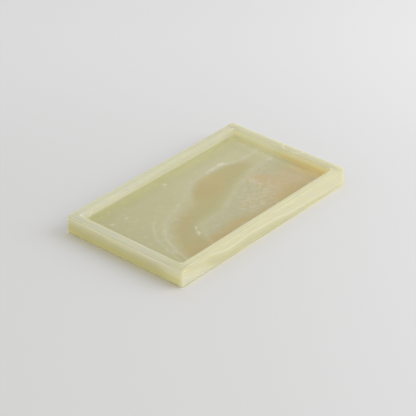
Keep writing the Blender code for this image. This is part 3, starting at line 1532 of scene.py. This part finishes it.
    def _place(self, graph: ShapeGraph, outline: Wire, inset: Wire, height: Wire) -> Wire:
        """Place of each point: the guide outline's corners shrunk or opened to the level's own.

        Args:
            graph: The tree to build in.
            outline: The point's place on the guide outline.
            inset: Its level's inset from the block's side.
            height: Its height.

        Returns:
            The place.
        """
        corner = self._corner_radius(graph, inset, height)
        guide_corner = graph.size["Guide Corner"]
        x, y, _ = graph.parts(outline)
        placed = []
        for along, side in ((x, graph.size["Length"]), (y, graph.size["Width"])):
            guide = side * 0.5 - guide_corner
            core = along.at_most(guide).at_least(guide * -1.0)
            level_core = core / guide * (side * 0.5 - inset - corner)
            placed.append(level_core + (along - core) / guide_corner * corner)
        return graph.vector(*placed, height)

    def _arris(self, graph: ShapeGraph, inset: Wire, height: Wire) -> Wire:
        """1 on the rim's two arrises, falling to 0 beside them.

        Args:
            graph: The tree to build in.
            inset: The point's inset from the block's side.
            height: Its height.

        Returns:
            The share.
        """
        below = graph.size["Rim Top"] - height
        distances = []
        for edge in (0.0, graph.size["Rim Width"]):
            across = inset - edge
            distances.append((across * across + below * below) ** 0.5)
        return distances[0].at_most(distances[1]).rise(*self.arris_reach)

    def _unevenness(self, graph: ShapeGraph) -> Wire:
        """Slight inward unevenness of hand polishing, none of it on the sawn underside.

        Args:
            graph: The tree to build in.

        Returns:
            The shift of each point.
        """
        height = graph.parts(graph.position())[2]
        above = height.rise(graph.size["Underside"], graph.size["Underside"] + self.sawn_height)
        ripple = graph.noise(graph.position(), self.ripple_length, detail=1.0)
        depth = ripple * graph.size["Unevenness"]
        return graph.scaled(graph.normal(), depth * above * -1.0)

    def _recessed(self, graph: ShapeGraph, shape: Wire) -> Wire:
        """Cuts the four round recesses of the pads into the underside.

        Args:
            graph: The tree to build in.
            shape: The stone without them.

        Returns:
            The stone with its recesses.
        """
        size = graph.size
        spread = {"Size X": size["Recess X"] * 2.0, "Size Y": size["Recess Y"] * 2.0}
        spread.update({"Vertices X": 2, "Vertices Y": 2})
        corners = graph.add("GeometryNodeMeshGrid", {}, spread)
        depth = size["Recess Roof"] * 2.0
        plug = {"Vertices": self.recess_steps, "Radius": size["Recess Radius"], "Depth": depth}
        cutter = graph.add("GeometryNodeMeshCylinder", {}, plug)
        placed = {"Points": corners, "Instance": cutter}
        cutters = graph.add("GeometryNodeInstanceOnPoints", {}, placed)
        cutters = graph.add("GeometryNodeRealizeInstances", {}, {"Geometry": cutters})
        settings = {"operation": "DIFFERENCE", "solver": "MANIFOLD"}
        cut = graph.node("GeometryNodeMeshBoolean", settings, {0: shape, 1: cutters})
        return Wire(graph, cut.outputs["Mesh"])


@dataclass(frozen=True)
class FeltPad:
    """A stick-on pad in its recess: a die-cut felt disc with a fuzzy edge, under adhesive film."""

    corner: Corner
    edge_ease: float = 0.00015
    ease_share: float = 0.3
    film_setback: float = 0.0003
    film_clearance: float = 0.00002
    turns: int = 96
    edge_steps: int = 3
    face_cuts: int = 6
    edge_cuts: int = 5
    edge_wander: float = 0.00009
    wander_grain: float = 0.7 * MM
    wander_middle: float = 0.7
    edge_slope: float = 0.7
    fibre_density: float = 1.6e7
    fibre_radius: float = 0.000018
    fibre_sides: int = 3
    fibre_lift: float = 0.00003
    fibre_bends: tuple[Place, ...] = (
        (0.0, -0.05 * MM), (0.02 * MM, 0.07 * MM), (0.06 * MM, 0.14 * MM), (0.13 * MM, 0.19 * MM),
    )
    fibre_lean: Reach = (0.9, 0.9, 3.1)
    fibre_scales: Span = (0.5, 1.2)
    seed: int = 11

    def build(self, felt: bpy.types.Material, film: bpy.types.Material) -> bpy.types.Object:
        """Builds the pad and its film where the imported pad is.

        Args:
            felt: The felt's material.
            film: The adhesive's material.

        Returns:
            The finished piece.
        """
        low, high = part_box(self.corner.pad_node)
        sizes = {
            "Radius": (high.x - low.x) / 2,
            "Bottom": low.z,
            "Top": high.z,
            "Film Top": high.z + BOND_LINE - self.film_clearance,
            "Middle X": (low.x + high.x) / 2,
            "Middle Y": (low.y + high.y) / 2,
        }
        graph = ShapeGraph(f"felt_pad_{self.corner.value}", sizes)
        size = graph.size
        disc = self._disc(graph, size["Radius"], size["Bottom"], size["Top"])
        disc = graph.pushed(disc, self._fuzzy_edge(graph))
        fibres = self._fibres(graph, disc)
        layer = self._disc(graph, size["Radius"] - self.film_setback, size["Top"], size["Film Top"])
        felted = graph.joined([graph.dressed(disc, felt), graph.dressed(fibres, felt)])
        shape = graph.joined([felted, graph.dressed(layer, film)])
        shape = graph.pushed(shape, graph.vector(size["Middle X"], size["Middle Y"], 0.0))
        piece = graph.piece(shape)
        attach(piece, "root")
        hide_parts(self.corner.pad_node)
        return piece

    def _disc(self, graph: ShapeGraph, radius: Wire, bottom: Wire, top: Wire) -> Wire:
        """A closed disc with eased edges about the vertical axis.

        Args:
            graph: The tree to build in.
            radius: The disc's radius.
            bottom: Height of its lower face.
            top: Height of its upper face.

        Returns:
            The disc.
        """
        ease = ((top - bottom) * self.ease_share).at_most(self.edge_ease)
        corners = ((0.0, bottom), (radius, bottom), (radius, top), (0.0, top))
        line = graph.section(corners, (0.0, ease, ease, 0.0), self.edge_steps)
        cuts = (self.face_cuts, self.edge_cuts, self.face_cuts)
        line = graph.divided(line, self.edge_steps, 0, cuts)
        unit = {"Resolution": self.turns, "Radius": 1.0}
        circle = graph.add("GeometryNodeCurvePrimitiveCircle", {}, unit)
        sheet, around, level = graph.levels(circle, line)
        x, y, _ = graph.parts(around)
        distance, _, height = graph.parts(level)
        return graph.closed(graph.moved(sheet, graph.vector(x * distance, y * distance, height)))

    def _fuzzy_edge(self, graph: ShapeGraph) -> Wire:
        """Sideways wander of the cut edge.

        Args:
            graph: The tree to build in.

        Returns:
            The shift of each point.
        """
        noise = graph.noise(graph.position(), self.wander_grain, detail=3.0)
        wander = (noise - self.wander_middle) * (2 * self.edge_wander)
        sideways = graph.vector_math("MULTIPLY", graph.normal(), (1.0, 1.0, 0.0))
        return graph.scaled(sideways, wander)

    def _fibres(self, graph: ShapeGraph, disc: Wire) -> Wire:
        """Loose bent fibres that stand out of the cut edge, short enough for the recess.

        Args:
            graph: The tree to build in.
            disc: The felt disc.

        Returns:
            The fibres.
        """
        line = graph.section(self.fibre_bends, (0.0,) * len(self.fibre_bends), 1)
        round_section = {"Resolution": self.fibre_sides, "Radius": self.fibre_radius}
        ring = graph.add("GeometryNodeCurvePrimitiveCircle", {}, round_section)
        swept = {"Curve": line, "Profile Curve": ring, "Fill Caps": True}
        fibre = graph.add("GeometryNodeCurveToMesh", {}, swept)
        on_edge = graph.parts(graph.normal())[2].size() < self.edge_slope
        scatter = {"Mesh": disc, "Selection": on_edge, "Density": self.fibre_density}
        scatter["Seed"] = self.seed
        spots = graph.node("GeometryNodeDistributePointsOnFaces", {}, scatter)
        least = tuple(-angle for angle in self.fibre_lean)
        tilt = self._random(graph, least, self.fibre_lean, "FLOAT_VECTOR", self.seed + 1)
        leaning = {0: Wire(graph, spots.outputs["Rotation"]), 1: tilt}
        rotation = graph.add("FunctionNodeRotateRotation", {"rotation_space": "LOCAL"}, leaning)
        sockets = {
            "Points": Wire(graph, spots.outputs["Points"]),
            "Instance": fibre,
            "Rotation": rotation,
            "Scale": self._random(graph, *self.fibre_scales, "FLOAT", self.seed + 2),
        }
        fibres = graph.add("GeometryNodeInstanceOnPoints", {}, sockets)
        fibres = graph.add("GeometryNodeRealizeInstances", {}, {"Geometry": fibres})
        x, y, z = graph.parts(graph.position())
        lowest = graph.size["Bottom"] + self.fibre_lift
        highest = graph.size["Top"] - self.fibre_lift
        return graph.moved(fibres, graph.vector(x, y, z.at_least(lowest).at_most(highest)))

    @staticmethod
    def _random(graph: ShapeGraph, low: Value, high: Value, kind: str, seed: int) -> Wire:
        """A random value for each point, the same on every run."""
        sockets = {"Min": low, "Max": high, "Seed": seed}
        return graph.add("FunctionNodeRandomValue", {"data_type": kind}, sockets)


def direction(turn: float, tilt: float) -> Vector:
    """Unit vector from the tray, turned rightwards from the front and tilted up."""
    level = Vector((math.sin(turn), -math.cos(turn), 0.0))
    return level * math.cos(tilt) + Vector((0.0, 0.0, math.sin(tilt)))


def aim(name: str, content: bpy.types.ID, target: Vector, towards: Vector) -> bpy.types.Object:
    """Adds an object that looks back at a target.

    Args:
        name: The object's name.
        content: Its camera or lamp.
        target: The place that it looks at.
        towards: How far it stands from there, along each axis.

    Returns:
        The object.
    """
    placed = bpy.data.objects.new(name, content)
    bpy.context.scene.collection.objects.link(placed)
    placed.location = target + towards
    placed.rotation_euler = towards.to_track_quat("Z", "Y").to_euler()
    return placed


@dataclass(frozen=True)
class Viewpoint:
    """The camera, where the photographer's stood."""

    look_at: tuple[float, float, float] = (-0.00106, -0.00011, 0.0002)
    turn: float = math.radians(-49.263)
    tilt: float = math.radians(31.472)
    distance: float = 1.3422
    lens_mm: float = 145.18

    def build(self) -> None:
        """Adds the camera and makes it the scene's."""
        camera = bpy.data.cameras.new("camera")
        camera.lens = self.lens_mm
        towards = direction(self.turn, self.tilt) * self.distance
        bpy.context.scene.camera = aim("camera", camera, Vector(self.look_at), towards)


@dataclass(frozen=True)
class SoftBox:
    """A large soft lamp that looks at the tray."""

    name: str
    turn: float
    tilt: float
    distance: float
    side: float
    level: float

    def build(self) -> None:
        """Adds the lamp, at a power that gives its level on a surface that faces it."""
        lamp = bpy.data.lights.new(self.name, "AREA")
        lamp.size = self.side
        lamp.energy = self.level * math.pi**2 * self.distance**2
        aim(self.name, lamp, Vector(), direction(self.turn, self.tilt) * self.distance)


@dataclass(frozen=True)
class Studio:
    """Plain pale floor and sky, with one large soft lamp to the right of the camera.

    The floor is painted paler far from the camera and to its right, as light from the lamp's side,
    and painted with honey-coloured light and shade beside the stone, which lets light through. Its
    zones are in millimetres.
    """

    floor_side: float = 6.0
    floor_tone: Colour = (0.70, 0.698, 0.694)
    floor_roughness: float = 0.9
    sight_turn: float = math.radians(40.7)
    # Painted light: the floor grows paler away from the camera and to its right
    fading: tuple[Glaze, ...] = (
        Glaze(x=(0.0, 330.0), factor=(1.09, 1.09, 1.10)),
        Glaze(y=(0.0, -200.0), factor=(1.03, 1.03, 1.04)),
    )
    # Painted light and shade beside the stone: honey-coloured shade along the left side, a lighter
    # strip in front and a lighter line at and under the stone's edge
    glow: tuple[Glaze, ...] = (
        Glaze(x=(-99.0, -101.0), side=(-30.0, 0.0), factor=(1.0, 0.99, 0.95)),
        Glaze(
            x=(-99.0, -101.0), y=(-64.0, -52.0, 52.0, 64.0), side=(-9.0, 0.0), factor=(0.93, 0.89, 0.77)
        ),
        Glaze(
            x=(-101.0, -90.0, 90.0, 101.0), y=(-59.0, -61.0), side=(-6.0, 0.0), factor=(1.08, 1.06, 1.0)
        ),
        Glaze(x=(100.5, 98.0), side=(-0.8, 0.3), factor=(1.38, 1.32, 1.10)),
    )
    sky_light: Colour = (0.79, 0.79, 0.79)
    sky_seen: Colour = (0.82, 0.82, 0.82)
    key: SoftBox = SoftBox(
        "key_light", math.radians(42), math.radians(33), distance=1.3, side=1.0, level=0.44
    )

    def build(self) -> None:
        """Builds the floor, the sky and the lamp, and shows colours plainly."""
        self._floor()
        self._sky()
        self.key.build()
        bpy.context.scene.view_settings.view_transform = "Standard"

    def _floor(self) -> None:
        """A wide level sheet under the tray."""
        half = self.floor_side / 2
        mesh = bpy.data.meshes.new("studio_floor")
        corners = [(-half, -half, 0), (half, -half, 0), (half, half, 0), (-half, half, 0)]
        mesh.from_pydata(corners, [], [(0, 1, 2, 3)])
        floor = bpy.data.objects.new("studio_floor", mesh)
        bpy.context.scene.collection.objects.link(floor)
        mesh.materials.append(self._floor_material())

    def _floor_material(self) -> bpy.types.Material:
        """Matt grey, with the floor's painted light and shade.

        Returns:
            The material.
        """
        graph = MaterialGraph("studio_floor")
        place = graph.scaled(graph.here(), 1 / MM)
        x, y, z = graph.parts(place)
        far, left = turned(x, y, self.sight_turn)
        colour = glazed(graph, self.floor_tone, graph.vector(far, left, z), self.fading)
        colour = glazed(graph, colour, place, self.glow)
        sockets = {"Base Color": colour, "Roughness": self.floor_roughness, "IOR": 1.2}
        return graph.finished(sockets)

    def _sky(self) -> None:
        """Even light from all round, which the camera and mirror reflections see as pale grey."""
        world = bpy.data.worlds.new("studio_sky")
        world.use_nodes = True
        graph = Graph(world.node_tree)
        path = graph.node("ShaderNodeLightPath")
        seen = Wire(graph, path.outputs["Is Camera Ray"])
        for ray in ("Is Glossy Ray", "Is Transmission Ray"):
            seen = seen.at_least(Wire(graph, path.outputs[ray]))
        colour = graph.tint(seen, self.sky_light, self.sky_seen)
        sky = graph.add("ShaderNodeBackground", {}, {"Color": colour})
        graph.node("ShaderNodeOutputWorld", {}, {"Surface": sky})
        bpy.context.scene.world = world


def report(piece: bpy.types.Object) -> None:
    """Logs a piece's name, faces and place."""
    low, high = ([round(length / MM, 2) for length in piece.bound_box[corner]] for corner in (0, 6))
    log.info("%s: %d faces, %s to %s mm", piece.name, len(piece.data.polygons), low, high)


def main() -> None:
    """Builds the camera and studio, the stone and its pads, and logs each piece."""
    logging.basicConfig(level=logging.INFO, format="%(message)s")
    Viewpoint().build()
    Studio().build()
    report(StoneTray().build(Onyx().material()))
    felt = Felt().material()
    film = AdhesiveFilm().material()
    for corner in Corner:
        report(FeltPad(corner).build(felt, film))
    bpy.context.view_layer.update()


if __name__ == "__main__":
    main()
